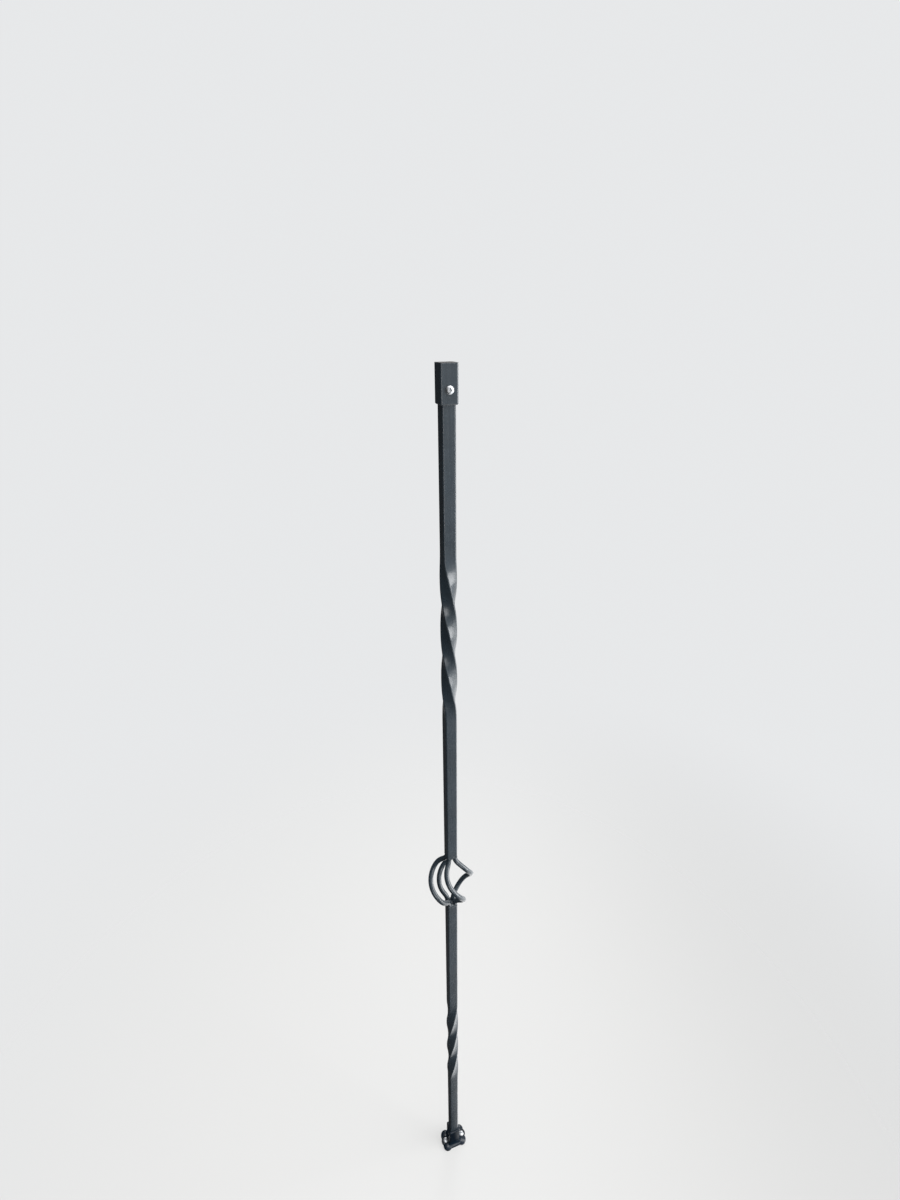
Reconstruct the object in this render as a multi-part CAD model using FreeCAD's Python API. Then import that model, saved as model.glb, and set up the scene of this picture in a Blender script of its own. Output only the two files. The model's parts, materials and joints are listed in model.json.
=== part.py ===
import FreeCAD, Part

import math
import os

# Iron stair baluster: a square bar twisted above and below a four-rod basket,
# with a square sleeve that takes its head under the handrail and a cast shoe at its foot.
# Millimetres. +Z is up, the origin is the centre of the foot, on the floor,
# and the sleeve's screw faces -Y.

# Overall sizes
RAIL_HEIGHT = 960.0
BASKET_ABOVE_MIDDLE = 8.0

# Square bar
BAR_SIDE = 10.0
BAR_EDGE_BEVEL = 0.7

# Twisted stretches, one above and one below the basket
TWIST_LENGTH = 148.0
TWIST_TO_BASKET = 160.0
TWIST_TURN = 270.0
TWIST_EASE = 0.10
TWIST_STEP = 11.25

# Basket of four rods
BASKET_HEIGHT = 67.0
BASKET_RADIUS = 20.3
BASKET_TURN = 90.0
ROD_COUNT = 4
ROD_DIAMETER = 4.8
ROD_BENDS = 4

# Fits between the pieces
SOCKET_CLEARANCE = 0.1
SCREW_CLEARANCE = 0.15
THREAD_CLEARANCE = 0.05

# Sleeve under the handrail
SLEEVE_LENGTH = 26.0
SLEEVE_WALL = 1.3
SLEEVE_EDGE_RADIUS = 1.2
SLEEVE_LIP_BEVEL = 0.7
SLEEVE_CAP = 2.0
RAIL_HOLE_DIAMETER = 4.5
BAR_TO_CAP = 7.0

# Screw through the sleeve into the bar
SLEEVE_SCREW_HEIGHT = 9.5
SLEEVE_SCREW_DIAMETER = 3.0
SLEEVE_SCREW_LENGTH = 6.0
SLEEVE_SCREW_HEAD_DIAMETER = 5.6
SLEEVE_SCREW_HEAD_HEIGHT = 1.9

# Cast shoe
COLLAR_HEIGHT = 30.0
COLLAR_WALL = 1.8
COLLAR_EDGE_RADIUS = 1.4
COLLAR_LIP_BEVEL = 0.8
FLARE_HEIGHT = 6.0
FLARE_SPREAD = 3.0
FLARE_STEPS = 3
SHOE_THICKNESS = 2.4
PETAL_RADIUS = 5.6
PETAL_CROWN = 2.2
PETAL_SPACING_X = 19.0
PETAL_SPACING_Y = 11.0
SEAT_LOBE_RADIUS = 5.0
SEAT_RIM_HEIGHT = 1.3
SEAT_RIM_WALL = 1.0

# Screws through the shoe into the floor
FLOOR_SCREW_SPACING = 22.0
FLOOR_SCREW_DIAMETER = 3.4
FLOOR_SCREW_LENGTH = 16.0
FLOOR_SCREW_POINT = 4.0
FLOOR_SCREW_HEAD_DIAMETER = 6.4
FLOOR_SCREW_HEAD_HEIGHT = 2.2

# Cross recess of every screw head, as shares of the head's own sizes
RECESS_LENGTH_SHARE = 0.5
RECESS_WIDTH_SHARE = 0.15
RECESS_DEPTH_SHARE = 0.55
HEAD_BEVEL_SHARE = 0.45

# Sizes that follow from the ones above
BASKET_MIDDLE = RAIL_HEIGHT / 2 + BASKET_ABOVE_MIDDLE
BASKET_TOP = BASKET_MIDDLE + BASKET_HEIGHT / 2
BASKET_BOTTOM = BASKET_MIDDLE - BASKET_HEIGHT / 2
SLEEVE_SIDE = BAR_SIDE + 2 * (SOCKET_CLEARANCE + SLEEVE_WALL)
COLLAR_SIDE = BAR_SIDE + 2 * (SOCKET_CLEARANCE + COLLAR_WALL)
SOCKET_SIDE = BAR_SIDE + 2 * SOCKET_CLEARANCE
BAR_TOP = RAIL_HEIGHT - SLEEVE_CAP - BAR_TO_CAP

# Share of the height over which a rod's direction is measured
HEADING_REACH = 0.001

UP = FreeCAD.Vector(0, 0, 1)
FORWARD = FreeCAD.Vector(0, -1, 0)


def rounded_square(side, radius, height, turn=0.0):
    """Wire of a square with rounded corners, level at a height and turned about the bar's axis."""
    half = side / 2
    flat = half - radius
    middle = radius * (1 - math.sqrt(0.5))
    edges = []
    for quarter in range(4):
        corner = [
            FreeCAD.Vector(half, -flat, height),
            FreeCAD.Vector(half, flat, height),
            FreeCAD.Vector(half - middle, half - middle, height),
            FreeCAD.Vector(flat, half, height),
        ]
        spin = FreeCAD.Rotation(UP, turn + 90 * quarter)
        start, end, crown, leave = [spin.multVec(point) for point in corner]
        edges.append(Part.LineSegment(start, end).toShape())
        edges.append(Part.Arc(end, crown, leave).toShape())
    return Part.Wire(edges)


def rounded_prism(side, radius, low, high):
    """Upright square prism with rounded edges."""
    return Part.Face(rounded_square(side, radius, low)).extrude(UP * (high - low))


def bevelled_square(side, bevel, height, turn=0.0):
    """Wire of a square with bevelled corners, level at a height and turned about the bar's axis."""
    half = side / 2
    flat = half - bevel
    points = []
    for quarter in range(4):
        spin = FreeCAD.Rotation(UP, turn + 90 * quarter)
        points.append(spin.multVec(FreeCAD.Vector(half, -flat, height)))
        points.append(spin.multVec(FreeCAD.Vector(half, flat, height)))
    return Part.makePolygon(points + points[:1])


def bevelled_prism(side, low, high):
    """Upright square prism with the bar's bevelled edges."""
    return Part.Face(bevelled_square(side, BAR_EDGE_BEVEL, low)).extrude(UP * (high - low))


def eased_share(share):
    """Share of the turn reached at a share of the twist's length, with a soft start and end."""
    rate = 1 / (1 - TWIST_EASE)
    if share < TWIST_EASE:
        return rate * share**2 / (2 * TWIST_EASE)
    if share > 1 - TWIST_EASE:
        return 1 - rate * (1 - share) ** 2 / (2 * TWIST_EASE)
    return rate * (share - TWIST_EASE / 2)


def twisted_prism(low, turn):
    """Twisted stretch of the bar. A positive turn is a right-hand twist."""
    steps = math.ceil(abs(turn) / TWIST_STEP)
    sections = []
    for step in range(steps + 1):
        share = step / steps
        height = low + TWIST_LENGTH * share
        sections.append(bevelled_square(BAR_SIDE, BAR_EDGE_BEVEL, height, turn * eased_share(share)))
    return Part.makeLoft(sections, True, False)


def twisted_bar(low, high, twist_low, turn):
    """Square bar from low to high with one twisted stretch that starts at twist_low."""
    below = bevelled_prism(BAR_SIDE, low, twist_low)
    above = bevelled_prism(BAR_SIDE, twist_low + TWIST_LENGTH, high)
    above.rotate(FreeCAD.Vector(), UP, turn)
    return below.fuse([twisted_prism(twist_low, turn), above])


def pan_head(diameter, height):
    """Screw head on the plane z = 0, with a bevelled rim and a cross recess in its flat crown."""
    head = Part.makeCylinder(diameter / 2, height)
    crown_rim = [edge for edge in head.Edges if edge.BoundBox.ZMin > height / 2]
    head = head.makeChamfer(height * HEAD_BEVEL_SHARE, crown_rim)
    length = diameter * RECESS_LENGTH_SHARE
    width = diameter * RECESS_WIDTH_SHARE
    base = height * (1 - RECESS_DEPTH_SHARE)
    slot = Part.makeBox(length, width, height, FreeCAD.Vector(-length / 2, -width / 2, base))
    cross = slot.copy()
    cross.rotate(FreeCAD.Vector(), UP, 90)
    return head.cut([slot, cross])


def upper_bar():
    """Bar from the basket up into the sleeve, with a left-hand twist and a threaded hole."""
    bar = twisted_bar(BASKET_TOP, BAR_TOP, BASKET_TOP + TWIST_TO_BASKET, -TWIST_TURN)
    depth = SLEEVE_SCREW_LENGTH
    face = FreeCAD.Vector(0, -BAR_SIDE / 2, RAIL_HEIGHT - SLEEVE_LENGTH + SLEEVE_SCREW_HEIGHT)
    return bar.cut(Part.makeCylinder(SLEEVE_SCREW_DIAMETER / 2, depth, face, FORWARD * -1))


def lower_bar():
    """Bar from the floor up to the basket, with a right-hand twist."""
    twist_low = BASKET_BOTTOM - TWIST_TO_BASKET - TWIST_LENGTH
    return twisted_bar(0, BASKET_BOTTOM, twist_low, TWIST_TURN)


def rod_point(share):
    """Point on a rod's centre line at a share of the basket's height."""
    neck_radius = (BAR_SIDE - ROD_DIAMETER) / math.sqrt(2)
    radius = neck_radius + (BASKET_RADIUS - neck_radius) * math.sin(math.pi * share)
    angle = math.radians(BASKET_TURN) * (1 - math.cos(math.pi * share)) / 2
    height = BASKET_BOTTOM + BASKET_HEIGHT * share
    return FreeCAD.Vector(radius * math.cos(angle), -radius * math.sin(angle), height)


def rod_heading(share):
    """Direction of a rod's centre line, upright where it is welded to the bars."""
    if share in (0, 1):
        return UP
    heading = rod_point(share + HEADING_REACH) - rod_point(share - HEADING_REACH)
    return heading.normalize()


def bend(start, corner, end):
    """Arc that leaves and arrives along the two equally long sides of a corner."""
    inward = start - corner
    outward = end - corner
    half_angle = inward.getAngle(outward) / 2
    depth = inward.Length * (1 / math.cos(half_angle) - math.tan(half_angle))
    middle = corner + (inward + outward).normalize() * depth
    return Part.Arc(start, middle, end).toShape()


def rod_path():
    """Smooth chain of arcs along a rod's centre line, two arcs for each stretch."""
    edges = []
    for step in range(ROD_BENDS):
        start = rod_point(step / ROD_BENDS)
        end = rod_point((step + 1) / ROD_BENDS)
        leaving = rod_heading(step / ROD_BENDS)
        arriving = rod_heading((step + 1) / ROD_BENDS)
        chord = end - start
        along = chord.dot(leaving + arriving)
        spread = 2 * (1 - leaving.dot(arriving))
        reach = chord.dot(chord) / (along + math.sqrt(along**2 + spread * chord.dot(chord)))
        first_corner = start + leaving * reach
        second_corner = end - arriving * reach
        joint = (first_corner + second_corner) / 2
        edges.append(bend(start, first_corner, joint))
        edges.append(bend(joint, second_corner, end))
    return Part.Wire(edges)


def basket_rod(index):
    """One rod of the basket: it leaves a corner of the bar, swells out, and ends a turn further on."""
    section = Part.Wire(Part.makeCircle(ROD_DIAMETER / 2, rod_point(0), UP))
    rod = rod_path().makePipeShell([section], True, False)
    rod.rotate(FreeCAD.Vector(), UP, 45 + 90 * index)
    return rod


def top_sleeve():
    """Square cup over the bar's head: closed at the handrail, open below, with a screw hole in front."""
    low = RAIL_HEIGHT - SLEEVE_LENGTH
    sleeve = rounded_prism(SLEEVE_SIDE, SLEEVE_EDGE_RADIUS, low, RAIL_HEIGHT)
    lip = [edge for edge in sleeve.Edges if edge.BoundBox.ZMax < low + SLEEVE_LIP_BEVEL]
    sleeve = sleeve.makeChamfer(SLEEVE_LIP_BEVEL, lip)
    socket = bevelled_prism(SOCKET_SIDE, low, RAIL_HEIGHT - SLEEVE_CAP)
    rail_hole = Part.makeCylinder(RAIL_HOLE_DIAMETER / 2, SLEEVE_LENGTH, FreeCAD.Vector(0, 0, low))
    hole_radius = SLEEVE_SCREW_DIAMETER / 2 + SCREW_CLEARANCE
    hole_start = FreeCAD.Vector(0, 0, low + SLEEVE_SCREW_HEIGHT)
    screw_hole = Part.makeCylinder(hole_radius, SLEEVE_SIDE, hole_start, FORWARD)
    return sleeve.cut([socket, rail_hole, screw_hole])


def sleeve_screw():
    """Round-headed machine screw through the front of the sleeve into the bar."""
    head = pan_head(SLEEVE_SCREW_HEAD_DIAMETER, SLEEVE_SCREW_HEAD_HEIGHT)
    shank_radius = SLEEVE_SCREW_DIAMETER / 2 - THREAD_CLEARANCE
    shank = Part.makeCylinder(shank_radius, SLEEVE_SCREW_LENGTH, FreeCAD.Vector(), UP * -1)
    screw = head.fuse(shank)
    screw.rotate(FreeCAD.Vector(), FreeCAD.Vector(1, 0, 0), 90)
    height = RAIL_HEIGHT - SLEEVE_LENGTH + SLEEVE_SCREW_HEIGHT
    screw.translate(FreeCAD.Vector(0, -SLEEVE_SIDE / 2, height))
    return screw


def petal(centre):
    """Round lobe of the shoe with a domed top, standing on the floor."""
    height = SHOE_THICKNESS + PETAL_CROWN
    ball_radius = (PETAL_RADIUS**2 + PETAL_CROWN**2) / (2 * PETAL_CROWN)
    ball_centre = centre + UP * (height - ball_radius)
    ball = Part.makeSphere(ball_radius, ball_centre, FreeCAD.Vector(1, 0, 0))
    return Part.makeCylinder(PETAL_RADIUS, height, centre).common(ball)


def screw_places():
    """Centres of the two floor screws, on the floor."""
    return [FreeCAD.Vector(side * FLOOR_SCREW_SPACING / 2, 0, 0) for side in (-1, 1)]


def base_shoe():
    """Cast shoe: four domed petals, two rimmed screw seats and a flared square collar."""
    petals = [
        petal(FreeCAD.Vector(side_x * PETAL_SPACING_X / 2, side_y * PETAL_SPACING_Y / 2, 0))
        for side_x in (-1, 1)
        for side_y in (-1, 1)
    ]
    seat_top = SHOE_THICKNESS + SEAT_RIM_HEIGHT
    rims = [Part.makeCylinder(SEAT_LOBE_RADIUS, seat_top, place) for place in screw_places()]
    hollows = []
    for place in screw_places():
        seat_radius = SEAT_LOBE_RADIUS - SEAT_RIM_WALL
        hollows.append(Part.makeCylinder(seat_radius, seat_top, place + UP * SHOE_THICKNESS))
        hollows.append(Part.makeCylinder(FLOOR_SCREW_DIAMETER / 2 + SCREW_CLEARANCE, seat_top, place))
    sections = [rounded_square(COLLAR_SIDE + 2 * FLARE_SPREAD, COLLAR_EDGE_RADIUS, 0)]
    for step in range(FLARE_STEPS + 1):
        share = step / FLARE_STEPS
        side = COLLAR_SIDE + 2 * FLARE_SPREAD * (1 - share) ** 2
        sections.append(rounded_square(side, COLLAR_EDGE_RADIUS, SHOE_THICKNESS + FLARE_HEIGHT * share))
    flare = Part.makeLoft(sections, True, True)
    collar = rounded_prism(COLLAR_SIDE, COLLAR_EDGE_RADIUS, 0, COLLAR_HEIGHT)
    lip = [edge for edge in collar.Edges if edge.BoundBox.ZMin > COLLAR_HEIGHT - COLLAR_LIP_BEVEL]
    collar = collar.makeChamfer(COLLAR_LIP_BEVEL, lip)
    socket = bevelled_prism(SOCKET_SIDE, 0, COLLAR_HEIGHT)
    return collar.fuse(petals + rims + [flare]).cut(hollows + [socket])


def shoe_screws():
    """Two round-headed wood screws, driven home through the shoe into the floor."""
    radius = FLOOR_SCREW_DIAMETER / 2
    plain = FLOOR_SCREW_LENGTH - FLOOR_SCREW_POINT
    screws = []
    for place in screw_places():
        head = pan_head(FLOOR_SCREW_HEAD_DIAMETER, FLOOR_SCREW_HEAD_HEIGHT)
        shank = Part.makeCylinder(radius, plain, FreeCAD.Vector(), UP * -1)
        point = Part.makeCone(radius, 0, FLOOR_SCREW_POINT, UP * -plain, UP * -1)
        screw = head.fuse([shank, point])
        screw.translate(place + UP * SHOE_THICKNESS)
        screws.append(screw)
    return Part.makeCompound(screws)


def main():
    """Builds every piece and writes one file for each."""
    pieces = {
        "upper_bar": upper_bar(),
        "lower_bar": lower_bar(),
        "top_sleeve": top_sleeve(),
        "sleeve_screw": sleeve_screw(),
        "base_shoe": base_shoe(),
        "shoe_screws": shoe_screws(),
    }
    for index in range(ROD_COUNT):
        pieces[f"basket_rod_{index + 1}"] = basket_rod(index)
    os.makedirs("parts", exist_ok=True)
    for name, shape in pieces.items():
        shape.exportStep(f"parts/{name}.step")
        print(name, len(shape.Solids), round(shape.Volume, 1), shape.isValid())


main()
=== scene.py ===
"""Dresses the iron stair baluster: paint, bright screws, weld beads, a pale studio and the camera."""

import json
import logging
import math
from dataclasses import dataclass
from enum import Enum

import bmesh
import bpy
from mathutils import Matrix, Quaternion, Vector

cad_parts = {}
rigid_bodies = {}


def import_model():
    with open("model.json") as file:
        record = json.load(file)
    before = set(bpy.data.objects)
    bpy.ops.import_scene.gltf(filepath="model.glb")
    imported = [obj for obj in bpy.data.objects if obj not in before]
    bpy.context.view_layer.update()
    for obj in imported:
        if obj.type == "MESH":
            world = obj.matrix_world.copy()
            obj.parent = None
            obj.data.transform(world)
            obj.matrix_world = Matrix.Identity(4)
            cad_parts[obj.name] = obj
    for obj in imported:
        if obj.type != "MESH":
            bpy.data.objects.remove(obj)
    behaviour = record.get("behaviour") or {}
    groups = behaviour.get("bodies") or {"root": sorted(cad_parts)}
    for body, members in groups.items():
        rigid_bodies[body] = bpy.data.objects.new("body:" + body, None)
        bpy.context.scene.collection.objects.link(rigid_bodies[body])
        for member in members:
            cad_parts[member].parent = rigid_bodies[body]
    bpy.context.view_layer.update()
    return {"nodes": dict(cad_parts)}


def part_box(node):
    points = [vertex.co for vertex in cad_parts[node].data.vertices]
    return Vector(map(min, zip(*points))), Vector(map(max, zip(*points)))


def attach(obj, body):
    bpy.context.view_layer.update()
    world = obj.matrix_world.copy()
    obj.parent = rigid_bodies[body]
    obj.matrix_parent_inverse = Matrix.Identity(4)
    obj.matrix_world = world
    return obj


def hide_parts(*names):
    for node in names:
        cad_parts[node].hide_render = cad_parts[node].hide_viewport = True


LOG = logging.getLogger("baluster")
MM = 0.001

Colour = tuple[float, float, float]
Triple = tuple[float, float, float]
Span = tuple[float, float]


class Ray(Enum):
    """Kinds of ray that a surface can answer in its own way."""

    CAMERA = "Is Camera Ray"
    GLOSSY = "Is Glossy Ray"
    TRANSMISSION = "Is Transmission Ray"


class Signal:
    """A shader socket that takes part in arithmetic."""

    def __init__(self, shader: "Shader", socket: bpy.types.NodeSocket) -> None:
        """Wraps one output socket.

        Args:
            shader: The node tree's builder.
            socket: The output socket that carries the value.
        """
        self.shader = shader
        self.socket = socket

    def _math(self, operation: str, *values: "Signal | float") -> "Signal":
        """Adds one Math node.

        Args:
            operation: Name of the node's operation.
            values: Its inputs in order.

        Returns:
            The node's output.
        """
        return self.shader.node("ShaderNodeMath", {"operation": operation}, dict(enumerate(values)))["Value"]

    def __add__(self, other: "Signal | float") -> "Signal":
        """Sum of two values."""
        return self._math("ADD", self, other)

    def __radd__(self, other: float) -> "Signal":
        """Sum with a number on the left."""
        return self._math("ADD", other, self)

    def __sub__(self, other: "Signal | float") -> "Signal":
        """Difference of two values."""
        return self._math("SUBTRACT", self, other)

    def __rsub__(self, other: float) -> "Signal":
        """Difference from a number on the left."""
        return self._math("SUBTRACT", other, self)

    def __mul__(self, other: "Signal | float") -> "Signal":
        """Product of two values."""
        return self._math("MULTIPLY", self, other)

    def __rmul__(self, other: float) -> "Signal":
        """Product with a number on the left."""
        return self._math("MULTIPLY", other, self)

    def swing(self, amount: float) -> "Signal":
        """Turns a pattern around one half into a swing about zero.

        Args:
            amount: Size of the swing as the pattern goes from 0 to 1.

        Returns:
            The swing.
        """
        return (self - 0.5) * amount

    def between(self, low: "Signal | float", high: "Signal | float") -> "Signal":
        """Blends two values.

        Args:
            low: Value where the signal is 0.
            high: Value where the signal is 1.

        Returns:
            The blend.
        """
        return low + self * (high - low)

    def ramp(self, low: float, high: "Signal | float") -> "Signal":
        """Smooth step of the value.

        Args:
            low: Value that gives 0.
            high: Value that gives 1.

        Returns:
            The stepped value.
        """
        settings = {"interpolation_type": "SMOOTHSTEP", "clamp": True}
        inputs = {"Value": self, "From Min": low, "From Max": high}
        return self.shader.node("ShaderNodeMapRange", settings, inputs)["Result"]


class Outputs:
    """The outputs of one node, by name."""

    def __init__(self, shader: "Shader", node: bpy.types.Node) -> None:
        """Keeps the node.

        Args:
            shader: The node tree's builder.
            node: The node whose outputs are read.
        """
        self.shader = shader
        self.node = node

    def __getitem__(self, name: str | int) -> Signal:
        """Output of that name or place."""
        return Signal(self.shader, self.node.outputs[name])


class Shader:
    """Builds the node tree of one material or of the world."""

    def __init__(self, tree: bpy.types.NodeTree) -> None:
        """Starts from an empty tree.

        Args:
            tree: The node tree to fill.
        """
        self.tree = tree
        tree.nodes.clear()

    def node(self, kind: str, settings: dict | None = None, inputs: dict | None = None) -> Outputs:
        """Adds a node.

        Args:
            kind: The node's type.
            settings: Its properties, set first.
            inputs: Values or signals for its input sockets, by name or place.

        Returns:
            The node's outputs.
        """
        made = self.tree.nodes.new(kind)
        for name, value in (settings or {}).items():
            setattr(made, name, value)
        for key, value in (inputs or {}).items():
            socket = made.inputs[key]
            if isinstance(value, Signal):
                self.tree.links.new(value.socket, socket)
            elif isinstance(value, tuple) and socket.type == "RGBA":
                socket.default_value = (*value, 1.0)
            else:
                socket.default_value = value
        return Outputs(self, made)

    def mix(self, share: "Signal | float", below: "Signal | Colour", above: "Signal | Colour") -> Signal:
        """Lays one colour over another.

        Args:
            share: How much of the upper colour shows.
            below: The lower colour.
            above: The upper colour.

        Returns:
            The mixed colour.
        """
        factor, first, second, colour_result = 0, 6, 7, 2
        inputs = {factor: share, first: below, second: above}
        return self.node("ShaderNodeMix", {"data_type": "RGBA"}, inputs)[colour_result]

    def vector(self, operation: str, *values: "Signal | Triple") -> Outputs:
        """Adds a Vector Math node.

        Args:
            operation: Name of the node's operation.
            values: Its vectors in order.

        Returns:
            The node's outputs.
        """
        return self.node("ShaderNodeVectorMath", {"operation": operation}, dict(enumerate(values)))

    def ray(self, kind: Ray) -> Signal:
        """Is 1 for rays of that kind and 0 for the others."""
        return self.node("ShaderNodeLightPath")[kind.value]

    def place(self, stretch: Triple = (1.0, 1.0, 1.0)) -> Signal:
        """Position on the object in metres.

        Args:
            stretch: Factors on the three axes.

        Returns:
            The position.
        """
        spot = self.node("ShaderNodeTexCoord")["Object"]
        return self.vector("MULTIPLY", spot, stretch)["Vector"]

    def noise(self, size: float, detail: float, stretch: Triple = (1.0, 1.0, 1.0)) -> Signal:
        """Cloudy pattern around one half.

        Args:
            size: Width of its features in metres.
            detail: Number of finer layers.
            stretch: Factors on the three axes.

        Returns:
            The pattern's value.
        """
        inputs = {"Vector": self.place(stretch), "Scale": 1.0 / size, "Detail": detail}
        return self.node("ShaderNodeTexNoise", {}, inputs)["Fac"]

    def bump(self, height: Signal, depth: float, normal: Signal | None = None) -> Signal:
        """Turns a height pattern into a surface direction.

        Args:
            height: Pattern from 0 to 1.
            depth: Depth in metres of a step from 0 to 1.
            normal: Direction that it starts from.

        Returns:
            The new direction.
        """
        inputs = {"Height": height, "Distance": depth, "Strength": 1.0}
        if normal is not None:
            inputs["Normal"] = normal
        return self.node("ShaderNodeBump", {}, inputs)["Normal"]

    def edge(self, radius: float) -> tuple[Signal, Signal]:
        """Finds the edges of a form.

        Args:
            radius: Width in metres over which an edge is rounded.

        Returns:
            A mask that is high on edges, and the rounded surface direction.
        """
        slight_turn, clear_turn = 0.004, 0.10
        rounded = self.node("ShaderNodeBevel", {"samples": 6}, {"Radius": radius})["Normal"]
        plain = self.node("ShaderNodeNewGeometry")["Normal"]
        match = self.vector("DOT_PRODUCT", rounded, plain)["Value"]
        return (1.0 - match).ramp(slight_turn, clear_turn), rounded

    def surface(self, settings: dict) -> None:
        """Ends the tree in a Principled shader.

        Args:
            settings: Values or signals for its sockets, by name.
        """
        made = self.node("ShaderNodeBsdfPrincipled", {}, settings)["BSDF"]
        self.node("ShaderNodeOutputMaterial", {}, {"Surface": made})


@dataclass(frozen=True)
class IronPaint:
    """Satin paint over forged or cast iron, with its sizes in metres."""

    name: str
    slot: str
    colour: Colour
    shade: Colour
    worn: Colour
    roughness: float
    ior: float
    coat: float
    forge_size: float
    forge_depth: float
    peel_depth: float
    edge_radius: float
    wear: float = 0.35
    coat_roughness: float = 0.16
    cloud_size: float = 45.0 * MM
    cloud_span: Span = (0.35, 0.65)
    blotch_size: float = 9.0 * MM
    blotch_span: Span = (0.45, 0.75)
    blotch_share: float = 0.35
    blotch_gloss: float = 0.14
    grain_size: float = 1.6 * MM
    grain_span: Span = (0.25, 0.7)
    grain_gloss: float = 0.08
    streak_size: float = 1.4 * MM
    streak_stretch: Triple = (1.0, 1.0, 0.04)
    streak_gloss: float = 0.16
    edge_gloss: float = 0.05
    peel_size: float = 1.1 * MM
    primer: Colour = (0.060, 0.058, 0.055)
    primer_roughness: float = 0.95
    primer_from: float = 0.10 * MM
    primer_full: float = 0.02 * MM

    def material(self, seat: float | None = None) -> bpy.types.Material:
        """Makes the paint: cloudy colour, forged dents, a fine peel and paler, smoother edges.

        Args:
            seat: Height of a level end that is left in dull primer, if there is one.

        Returns:
            The material.
        """
        made = bpy.data.materials.new(self.name if seat is None else f"{self.name}_with_seat")
        made.use_nodes = True
        shader = Shader(made.node_tree)
        cloud = shader.noise(self.cloud_size, detail=4.0)
        blotch = shader.noise(self.blotch_size, detail=3.0)
        grain = shader.noise(self.grain_size, detail=2.0)
        streak = shader.noise(self.streak_size, detail=2.0, stretch=self.streak_stretch)
        edge, rounded = shader.edge(self.edge_radius)
        colour = shader.mix(cloud.ramp(*self.cloud_span), self.shade, self.colour)
        colour = shader.mix(blotch.ramp(*self.blotch_span) * self.blotch_share, colour, self.shade)
        colour = shader.mix(edge * grain.ramp(*self.grain_span) * self.wear, colour, self.worn)
        roughness = self.roughness + blotch.swing(self.blotch_gloss) + grain.swing(self.grain_gloss)
        roughness = roughness + streak.swing(self.streak_gloss) - edge * self.edge_gloss
        coat: Signal | float = self.coat
        if seat is not None:
            height = shader.node("ShaderNodeSeparateXYZ", {}, {"Vector": shader.place()})["Z"]
            primed = height.ramp(seat - self.primer_from, seat - self.primer_full)
            colour = shader.mix(primed, colour, self.primer)
            roughness = primed.between(roughness, self.primer_roughness)
            coat = self.coat * (1.0 - primed)
        forge = shader.noise(self.forge_size, detail=2.0)
        peel = shader.noise(self.peel_size, detail=1.0)
        dented = shader.bump(forge, self.forge_depth, rounded)
        shader.surface({
            "Base Color": colour,
            "Roughness": roughness,
            "Metallic": 0.0,
            "IOR": self.ior,
            "Coat Weight": coat,
            "Coat Roughness": self.coat_roughness,
            "Normal": shader.bump(peel, self.peel_depth, dented),
        })
        return made


@dataclass(frozen=True)
class BrightZinc:
    """Bright plating on turned and pressed steel, with its sizes in metres."""

    name: str = "bright_zinc"
    slot: str = "zinc"
    colour: Colour = (0.72, 0.735, 0.755)
    tint: Colour = (0.54, 0.56, 0.58)
    roughness: float = 0.45
    cloud_size: float = 2.2 * MM
    cloud_span: Span = (0.35, 0.7)
    mark_size: float = 0.4 * MM
    mark_gloss: float = 0.18
    mark_depth: float = 0.012 * MM

    def material(self) -> bpy.types.Material:
        """Makes the plating: faint turning marks and a soft grey cloud.

        Returns:
            The material.
        """
        made = bpy.data.materials.new(self.name)
        made.use_nodes = True
        shader = Shader(made.node_tree)
        cloud = shader.noise(self.cloud_size, detail=3.0)
        mark = shader.noise(self.mark_size, detail=2.0)
        shader.surface({
            "Base Color": shader.mix(cloud.ramp(*self.cloud_span), self.colour, self.tint),
            "Roughness": self.roughness + mark.swing(self.mark_gloss),
            "Metallic": 1.0,
            "Normal": shader.bump(mark, self.mark_depth),
        })
        return made


def dress(node: bpy.types.Object, material: bpy.types.Material) -> None:
    """Gives a carried-over node its material and smooth shading within each face.

    Args:
        node: The node's object.
        material: The material for all of it.
    """
    node.data.materials.clear()
    node.data.materials.append(material)
    node.data.shade_smooth()
    LOG.info("painted %s", node.name)


def ring_point(radius: float, angle: float, height: float) -> Triple:
    """Point at that distance from the axis, direction and height."""
    return radius * math.cos(angle), radius * math.sin(angle), height


def finished(form: bmesh.types.BMesh, name: str) -> bpy.types.Mesh:
    """Turns worked geometry into a mesh and frees it.

    Args:
        form: The geometry.
        name: The mesh's name.

    Returns:
        The mesh.
    """
    mesh = bpy.data.meshes.new(name)
    form.to_mesh(mesh)
    form.free()
    return mesh


def skin(name: str, rings: list[list[Triple]]) -> bpy.types.Mesh:
    """Joins a stack of rings with equal numbers of points into a closed mesh.

    Args:
        name: The mesh's name.
        rings: The rings from the lowest up, each counterclockwise seen from above.

    Returns:
        The mesh, closed at both ends.
    """
    form = bmesh.new()
    loops = [[form.verts.new(point) for point in ring] for ring in rings]
    for lower, upper in zip(loops, loops[1:]):
        for step in range(len(lower)):
            after = (step + 1) % len(lower)
            form.faces.new((lower[step], lower[after], upper[after], upper[step]))
    form.faces.new(list(reversed(loops[0])))
    form.faces.new(loops[-1])
    return finished(form, name)


def add_piece(name: str, mesh: bpy.types.Mesh, material: bpy.types.Material) -> bpy.types.Object:
    """Puts a new piece in the scene.

    Args:
        name: The piece's name.
        mesh: Its mesh, in place in the frame.
        material: Its material.

    Returns:
        The new object, which moves with the whole baluster.
    """
    piece = bpy.data.objects.new(name, mesh)
    bpy.context.scene.collection.objects.link(piece)
    mesh.materials.clear()
    mesh.materials.append(material)
    mesh.shade_smooth()
    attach(piece, "root")
    LOG.info("piece %s with %d faces", name, len(mesh.polygons))
    return piece


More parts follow.
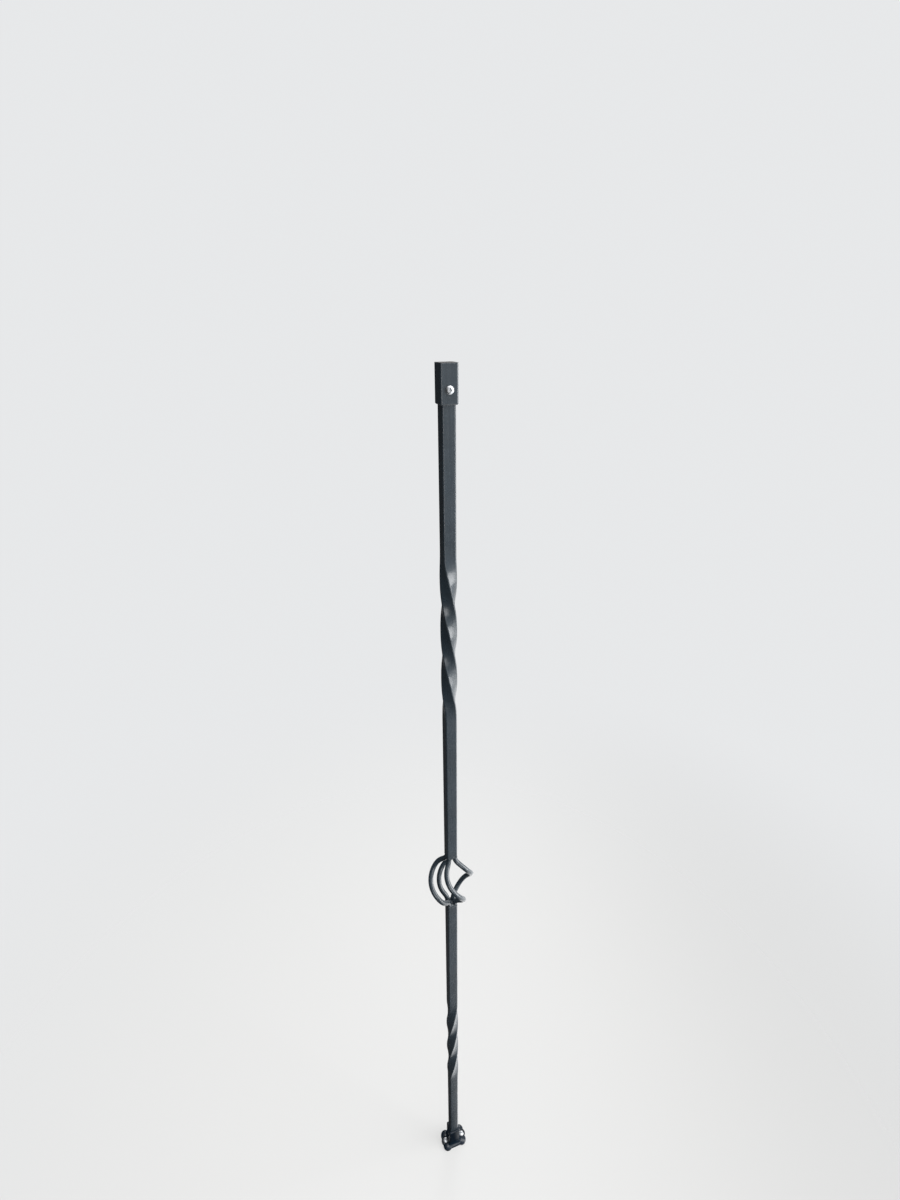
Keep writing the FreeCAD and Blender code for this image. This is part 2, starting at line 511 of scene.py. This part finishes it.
@dataclass
class IronWork:
    """The forged iron: both bars, the four rods and the sleeve."""

    nodes: dict[str, bpy.types.Object]
    paint: IronPaint = IronPaint(
        name="slate_iron_paint", slot="iron_paint",
        colour=(0.036, 0.053, 0.069), shade=(0.026, 0.039, 0.051), worn=(0.08, 0.105, 0.125),
        roughness=0.28, ior=1.70, coat=0.40, forge_size=10.0 * MM, forge_depth=0.16 * MM,
        peel_depth=0.016 * MM, edge_radius=1.1 * MM)
    rods: int = 4

    def build(self) -> bpy.types.Material:
        """Paints every forged node, and leaves the sleeve's top in primer.

        Returns:
            The paint's material.
        """
        material = self.paint.material()
        for name in ("upper_bar", "lower_bar"):
            dress(self.nodes[name], material)
        for rod in range(self.rods):
            dress(self.nodes[f"basket_rod_{rod + 1}"], material)
        _, sleeve_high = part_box("top_sleeve")
        dress(self.nodes["top_sleeve"], self.paint.material(seat=sleeve_high.z))
        return material


@dataclass
class CastShoe:
    """The cast shoe at the foot."""

    node: bpy.types.Object
    paint: IronPaint = IronPaint(
        name="blue_black_shoe_paint", slot="shoe_paint",
        colour=(0.006, 0.015, 0.028), shade=(0.003, 0.009, 0.018), worn=(0.03, 0.05, 0.07),
        roughness=0.17, ior=1.42, coat=0.18, forge_size=4.0 * MM, forge_depth=0.10 * MM,
        peel_depth=0.02 * MM, edge_radius=0.9 * MM)

    def build(self) -> None:
        """Paints the shoe."""
        dress(self.node, self.paint.material())


@dataclass
class WeldBeads:
    """The ground welds round both ends of the basket."""

    material: bpy.types.Material
    slot: str
    half_side: float = 5.0 * MM
    bevel: float = 0.7 * MM
    proud: float = 0.22 * MM
    sunk: float = 0.30 * MM
    sunk_power: int = 6
    reach: float = 1.5 * MM
    ripple: float = 0.07 * MM
    coarse_waves: int = 7
    coarse_slant: float = 2.0
    fine_waves: int = 17
    fine_slant: float = 3.0
    fine_share: float = 0.6
    drift: float = 0.375 * MM
    drift_waves: int = 5
    around: int = 96
    rows: int = 12

    def outline(self, angle: float) -> float:
        """Distance from the axis to the bar's bevelled square outline.

        Args:
            angle: Direction about the axis.

        Returns:
            The distance.
        """
        across, along = abs(math.cos(angle)), abs(math.sin(angle))
        flat = self.half_side / max(across, along)
        corner = (2.0 * self.half_side - self.bevel) / (across + along)
        return min(flat, corner)

    def ring(self, rise: float, height: float) -> list[Triple]:
        """One level of a bead, which stands proudest and roughest at its middle.

        Args:
            rise: Level in the bead, from -1 at its foot to 1 at its top.
            height: Height of the joint, which also sets how the bead drifts up and down.

        Returns:
            The ring's points.
        """
        fullness = 1.0 - rise * rise
        points = []
        for step in range(self.around):
            angle = 2.0 * math.pi * step / self.around
            coarse = math.sin(self.coarse_waves * angle + self.coarse_slant * rise)
            fine = math.sin(self.fine_waves * angle - self.fine_slant * rise)
            crest = self.proud + self.ripple * (coarse + self.fine_share * fine)
            radius = self.outline(angle) + crest * fullness - self.sunk * abs(rise) ** self.sunk_power
            drift = self.drift * math.sin(self.drift_waves * angle + height)
            points.append(ring_point(radius, angle, height + self.reach * rise + drift))
        return points

    def bead(self, name: str, height: float) -> None:
        """Makes one bead: a soft uneven ring with the bar's own outline.

        Args:
            name: The piece's name.
            height: Height of the joint.
        """
        rings = [self.ring(2.0 * row / self.rows - 1.0, height) for row in range(self.rows + 1)]
        add_piece(name, skin(name, rings), self.material)

    def build(self) -> None:
        """Makes a bead at the upper bar's foot and one at the lower bar's head."""
        upper_foot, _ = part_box("upper_bar")
        _, lower_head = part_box("lower_bar")
        self.bead("upper_weld", upper_foot.z)
        self.bead("lower_weld", lower_head.z)


@dataclass(frozen=True)
class Screw:
    """One round-headed screw with a cross recess, in its own frame with the head up."""

    head_radius: float
    head_height: float
    shank_radius: float
    shank_length: float
    pitch: float
    point: float
    plain: float
    around: int = 40
    rim_share: float = 0.30
    dome_steps: int = 12
    dome_power: float = 0.9
    thread_share: float = 0.22
    steps_a_turn: int = 8
    tip_share: float = 0.02
    recess_length: float = 0.55
    recess_width: float = 0.13
    recess_floor: float = 0.35
    recess_top: float = 1.3
    recess_taper: Span = (0.55, 1.25)
    recess_flank: float = 0.3
    sliver: float = 0.002 * MM

    def head_rings(self) -> list[list[Triple]]:
        """Rings of the head, from the rim's foot to near the crown.

        Returns:
            The rings' points.
        """
        rim = self.head_height * self.rim_share
        profile = [(self.head_radius, 0.0), (self.head_radius, rim)]
        for step in range(1, self.dome_steps):
            angle = math.pi / 2 * step / self.dome_steps
            height = rim + (self.head_height - rim) * math.sin(angle) ** self.dome_power
            profile.append((self.head_radius * math.cos(angle), height))
        turns = [2.0 * math.pi * step / self.around for step in range(self.around)]
        return [[ring_point(radius, turn, height) for turn in turns] for radius, height in profile]

    def shank_ring(self, drop: float) -> list[Triple]:
        """One ring of the threaded shank.

        Args:
            drop: Depth below the head.

        Returns:
            Its points.
        """
        taper = min(1.0, (self.shank_length - drop) / self.point) if self.point else 1.0
        run_in = min(1.0, max(0.0, (drop - self.plain) / self.pitch))
        depth = self.thread_share * self.shank_radius * run_in
        points = []
        for step in range(self.around):
            angle = 2.0 * math.pi * step / self.around
            crest = abs(((drop / self.pitch + step / self.around) % 1.0) * 2.0 - 1.0)
            radius = (self.shank_radius - depth * (1.0 - crest)) * taper
            points.append(ring_point(max(self.tip_share * self.shank_radius, radius), angle, -drop))
        return points

    def mesh(self, name: str) -> bpy.types.Mesh:
        """Makes the screw's mesh.

        Args:
            name: The mesh's name.

        Returns:
            The mesh, with its recess cut.
        """
        drops = math.ceil(self.shank_length / self.pitch * self.steps_a_turn)
        rings = [self.shank_ring(self.shank_length * step / drops) for step in range(drops, -1, -1)]
        return self.cut_recess(skin("whole_screw", rings + self.head_rings()), name)

    def cutter(self) -> bpy.types.Mesh:
        """Makes the tapered cross that cuts the recess.

        Returns:
            The cross's mesh.
        """
        form = bmesh.new()
        heights = (self.head_height * self.recess_floor, self.head_height * self.recess_top)
        faces = ((3, 2, 1, 0), (4, 5, 6, 7), (0, 1, 5, 4), (1, 2, 6, 5), (2, 3, 7, 6), (3, 0, 4, 7))
        for quarter in (0.0, math.pi / 2):
            corners = []
            for height, grow in zip(heights, self.recess_taper):
                length = self.head_radius * self.recess_length * grow
                flank = 1.0 - self.recess_flank + self.recess_flank * grow
                width = self.head_radius * self.recess_width * flank
                for x, y in ((-length, -width), (length, -width), (length, width), (-length, width)):
                    corners.append(form.verts.new((x, y, height)))
            for face in faces:
                form.faces.new([corners[corner] for corner in face])
            bmesh.ops.rotate(form, verts=corners, cent=(0, 0, 0), matrix=Matrix.Rotation(quarter, 3, "Z"))
        return finished(form, "recess")

    def cut_recess(self, mesh: bpy.types.Mesh, name: str) -> bpy.types.Mesh:
        """Cuts the cross recess out of the head.

        Args:
            mesh: The whole screw.
            name: Name of the finished mesh.

        Returns:
            The finished mesh, without flat slivers.
        """
        body = bpy.data.objects.new("whole_screw", mesh)
        tool = bpy.data.objects.new("recess_tool", self.cutter())
        for thing in (body, tool):
            bpy.context.scene.collection.objects.link(thing)
        cut = body.modifiers.new("recess", "BOOLEAN")
        cut.operation = "DIFFERENCE"
        cut.solver = "EXACT"
        cut.use_self = True
        cut.object = tool
        bpy.context.view_layer.update()
        graph = bpy.context.evaluated_depsgraph_get()
        made = bpy.data.meshes.new_from_object(body.evaluated_get(graph))
        for thing in (body, tool):
            bpy.data.objects.remove(thing)
        form = bmesh.new()
        form.from_mesh(made)
        bmesh.ops.triangulate(form, faces=form.faces)
        bmesh.ops.dissolve_degenerate(form, dist=self.sliver, edges=form.edges)
        return finished(form, name)


@dataclass
class Fasteners:
    """The sleeve's screw and the two floor screws, with threads and domed heads."""

    zinc: BrightZinc = BrightZinc()
    sleeve_screw: Screw = Screw(
        head_radius=2.8 * MM, head_height=1.9 * MM, shank_radius=1.45 * MM, shank_length=6.0 * MM,
        pitch=0.5 * MM, point=0.0, plain=0.0)
    floor_screw: Screw = Screw(
        head_radius=3.2 * MM, head_height=2.2 * MM, shank_radius=1.7 * MM, shank_length=16.0 * MM,
        pitch=1.4 * MM, point=4.0 * MM, plain=1.5 * MM)
    floor_turns: tuple[float, float] = (0.6, 1.5)
    sharp_angle: float = 40.0

    def sleeve_place(self) -> Matrix:
        """Place of the sleeve's screw.

        Returns:
            Where it sits on the sleeve's front face, with its head towards -Y.
        """
        low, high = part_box("sleeve_screw")
        sleeve_low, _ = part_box("top_sleeve")
        seat = Vector((0.0, sleeve_low.y, (low.z + high.z) / 2))
        return Matrix.Translation(seat) @ Matrix.Rotation(math.pi / 2, 4, "X")

    def floor_places(self) -> list[Matrix]:
        """Places of the two floor screws.

        Returns:
            Where they sit on the shoe's left and right seat, each with its recess turned by its own angle.
        """
        _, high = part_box("shoe_screws")
        reach = high.x - self.floor_screw.head_radius
        height = high.z - self.floor_screw.head_height
        places = []
        for side, turn in zip((-reach, reach), self.floor_turns):
            places.append(Matrix.Translation(Vector((side, 0.0, height))) @ Matrix.Rotation(turn, 4, "Z"))
        return places

    def set_screw(self, name: str, screw: Screw, place: Matrix, material: bpy.types.Material,
                  node: str) -> None:
        """Sets one screw in a node's place.

        Args:
            name: The piece's name.
            screw: The kind of screw.
            place: Where it goes.
            material: Its plating.
            node: The node that it stands for.
        """
        mesh = screw.mesh(name)
        mesh.transform(place)
        piece = add_piece(name, mesh, material)
        mesh.set_sharp_from_angle(angle=math.radians(self.sharp_angle))
        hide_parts(node)

    def build(self) -> None:
        """Makes the screws and sets them in the nodes' places."""
        material = self.zinc.material()
        place = self.sleeve_place()
        self.set_screw("sleeve_screw_detail", self.sleeve_screw, place, material, "sleeve_screw")
        for number, place in enumerate(self.floor_places(), start=1):
            self.set_screw(f"shoe_screw_detail_{number}", self.floor_screw, place, material, "shoe_screws")


@dataclass(frozen=True)
class Lamp:
    """A soft upright lamp that the camera doesn't see, with lengths in metres and its power in watts."""

    name: str
    place: Triple
    aim: Triple
    width: float
    height: float
    power: float

    def build(self) -> None:
        """Stands the lamp in the scene and turns it to its aim."""
        data = bpy.data.lights.new(self.name, "AREA")
        data.shape = "RECTANGLE"
        data.size = self.width
        data.size_y = self.height
        data.energy = self.power
        lamp = bpy.data.objects.new(self.name, data)
        lamp.visible_camera = False
        bpy.context.scene.collection.objects.link(lamp)
        lamp.location = self.place
        lamp.rotation_euler = (Vector(self.aim) - Vector(self.place)).to_track_quat("-Z", "Y").to_euler()


@dataclass(frozen=True)
class Viewpoint:
    """The camera at the viewing angle of the photograph, with angles in degrees."""

    azimuth: float = -18.5
    distance: float = 0.4102
    height: float = 0.9819
    pitch: float = 25.0
    turn: float = 0.165
    roll: float = -0.45
    focal_pixels: float = 590.6
    long_side_pixels: float = 1200.0
    sensor: float = 36.0
    nearest: float = 0.01
    farthest: float = 50.0

    def build(self) -> None:
        """Stands the camera in the scene and makes it the scene's own."""
        data = bpy.data.cameras.new("camera")
        data.sensor_width = self.sensor
        data.lens = self.sensor * self.focal_pixels / self.long_side_pixels
        data.clip_start = self.nearest
        data.clip_end = self.farthest
        camera = bpy.data.objects.new("camera", data)
        bpy.context.scene.collection.objects.link(camera)
        angle = math.radians(self.azimuth)
        side, back = math.sin(angle), -math.cos(angle)
        camera.location = (side * self.distance, back * self.distance, self.height)
        pitch = math.radians(self.pitch)
        look = Vector((-side * math.cos(pitch), -back * math.cos(pitch), -math.sin(pitch)))
        look.rotate(Quaternion((0.0, 0.0, 1.0), -math.radians(self.turn)))
        roll = Quaternion((0.0, 0.0, 1.0), math.radians(self.roll))
        camera.rotation_euler = (look.to_track_quat("-Z", "Y") @ roll).to_euler()
        bpy.context.scene.camera = camera


@dataclass
class Studio:
    """Floor, backdrop, lamps and camera. The studio is brighter on its right, where the key lamp stands."""

    floor_colour: Colour = (0.30, 0.30, 0.297)
    # Painted shade: the floor colour that the camera sees on the key lamp's side, darker so that the lamp's
    # extra light evens out.
    floor_painted_shade_colour: Colour = (0.12, 0.12, 0.119)
    floor_glow: Colour = (0.50, 0.50, 0.497)
    # Painted light and shade in the floor's bounce and reflections: dark values for the left, bright values
    # for the right.
    bounce_painted_shade: float = 0.25
    bounce_painted_light: float = 0.45
    mirror_painted_shade: float = 0.03
    mirror_painted_reflection: float = 1.00
    back_colour: Colour = (0.80, 0.81, 0.82)
    floor_radius: float = 4.0
    floor_segments: int = 96
    fade_start: float = 0.25
    fade_end: float = 1.15
    unseen_end: float = 3.9
    world_light: float = 0.60
    dark_fill: float = 0.42
    dark_shine: float = 0.03
    light_side: Triple = (0.94, -0.34, 0.0)
    mirror_side: Triple = (0.985, 0.17, 0.0)
    floor_span: Span = (-0.1, 0.8)
    light_above: Triple = (0.78, -0.18, 0.90)
    world_span: Span = (-0.3, 1.0)
    lamps: tuple[Lamp, ...] = (
        Lamp("key", place=(1.30, -0.60, 0.80), aim=(0.0, 0.0, 0.55), width=1.0, height=1.6, power=22.0),
        Lamp("top", place=(0.6, -0.4, 3.2), aim=(0.1, 0.0, 0.0), width=2.4, height=2.4, power=56.0),
        Lamp("front", place=(-0.15, -2.1, 0.4), aim=(0.0, 0.0, 0.35), width=0.8, height=0.8, power=7.0),
        Lamp("back", place=(1.2, 2.2, 1.2), aim=(0.0, 0.0, 0.5), width=1.0, height=1.4, power=18.0),
    )
    viewpoint: Viewpoint = Viewpoint()

    def build_world(self) -> None:
        """Makes a backdrop that the camera sees pale, and an even soft light that fades to the left."""
        world = bpy.data.worlds.new("studio")
        world.use_nodes = True
        bpy.context.scene.world = world
        shader = Shader(world.node_tree)
        direction = shader.node("ShaderNodeTexCoord")["Generated"]
        side = shader.vector("DOT_PRODUCT", direction, self.light_above)["Value"].ramp(*self.world_span)
        mirrored = shader.ray(Ray.GLOSSY) + shader.ray(Ray.TRANSMISSION)
        light = side.between(mirrored.between(self.dark_fill, self.dark_shine), 1.0)
        unseen = light * mirrored.between(self.world_light, 1.0)
        strength = shader.ray(Ray.CAMERA).between(unseen, 1.0)
        back = shader.node("ShaderNodeBackground", {}, {"Color": self.back_colour, "Strength": strength})
        shader.node("ShaderNodeOutputWorld", {}, {"Surface": back["Background"]})

    def floor_bounce(self, shader: Shader, side: Signal) -> Signal:
        """Colour of the floor for the rays that the camera doesn't send, with painted light and painted
        shade in it.

        Args:
            shader: The floor material's builder.
            side: Mask that rises towards the lit side.

        Returns:
            A grey with painted light that is brighter on the lit side, and more strongly so in reflections
            as a painted reflection.
        """
        # Painted light and shade: for bounce light the floor is painted lighter towards the lit side, and
        # for glossy rays it is painted far lighter towards mirror_side, a painted reflection that shows on
        # the iron.
        turn = shader.vector("NORMALIZE", shader.place())["Vector"]
        flank = shader.vector("DOT_PRODUCT", turn, self.mirror_side)["Value"].ramp(*self.floor_span)
        plain = side.between(self.bounce_painted_shade, self.bounce_painted_light)
        mirror = flank.between(self.mirror_painted_shade, self.mirror_painted_reflection)
        grey = shader.ray(Ray.GLOSSY).between(plain, mirror)
        return shader.node("ShaderNodeCombineColor", {}, {"Red": grey, "Green": grey, "Blue": grey})["Color"]

    def floor_material(self) -> bpy.types.Material:
        """Makes the floor's finish, which the camera sees pale, with painted shade on the key lamp's side,
        and which fades into the backdrop.

        Returns:
            The material.
        """
        material = bpy.data.materials.new("pale_floor")
        material.use_nodes = True
        shader = Shader(material.node_tree)
        seen = shader.ray(Ray.CAMERA)
        # Painted shade: seen by the camera, the floor is painted darker towards the key lamp's side, to even
        # out that lamp's extra light on it.
        side = shader.vector("DOT_PRODUCT", shader.place(), self.light_side)["Value"].ramp(*self.floor_span)
        shown = shader.mix(side, self.floor_colour, self.floor_painted_shade_colour)
        colour = shader.mix(seen, self.floor_bounce(shader, side), shown)
        lit = shader.node("ShaderNodeBsdfDiffuse", {}, {"Color": colour})["BSDF"]
        shining = {"Color": self.floor_glow, "Strength": seen}
        glow = shader.node("ShaderNodeEmission", {}, shining)["Emission"]
        plain = shader.node("ShaderNodeAddShader", {}, {0: lit, 1: glow})["Shader"]
        clear = shader.node("ShaderNodeBsdfTransparent")["BSDF"]
        away = shader.vector("LENGTH", shader.place())["Value"]
        fade = away.ramp(self.fade_start, seen.between(self.unseen_end, self.fade_end))
        blend = shader.node("ShaderNodeMixShader", {}, {0: fade, 1: plain, 2: clear})["Shader"]
        shader.node("ShaderNodeOutputMaterial", {}, {"Surface": blend})
        return material

    def build_floor(self) -> None:
        """Makes the round floor."""
        form = bmesh.new()
        bmesh.ops.create_circle(form, cap_ends=True, segments=self.floor_segments, radius=self.floor_radius)
        mesh = finished(form, "studio_floor")
        mesh.materials.append(self.floor_material())
        floor = bpy.data.objects.new("studio_floor", mesh)
        bpy.context.scene.collection.objects.link(floor)

    def build(self) -> None:
        """Builds the whole studio."""
        bpy.context.scene.view_settings.view_transform = "Standard"
        self.build_world()
        self.build_floor()
        for lamp in self.lamps:
            lamp.build()
        self.viewpoint.build()
        LOG.info("studio ready with %d lamps", len(self.lamps))


def main() -> None:
    """Builds the looks of the baluster and its studio."""
    logging.basicConfig(level=logging.INFO, format="%(name)s: %(message)s")
    for thing in list(bpy.data.objects):
        bpy.data.objects.remove(thing)
    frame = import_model()
    nodes = frame["nodes"]
    iron = IronWork(nodes)
    iron_material = iron.build()
    CastShoe(nodes["base_shoe"]).build()
    WeldBeads(iron_material, iron.paint.slot).build()
    Fasteners().build()
    Studio().build()


if __name__ == "__main__":
    main()
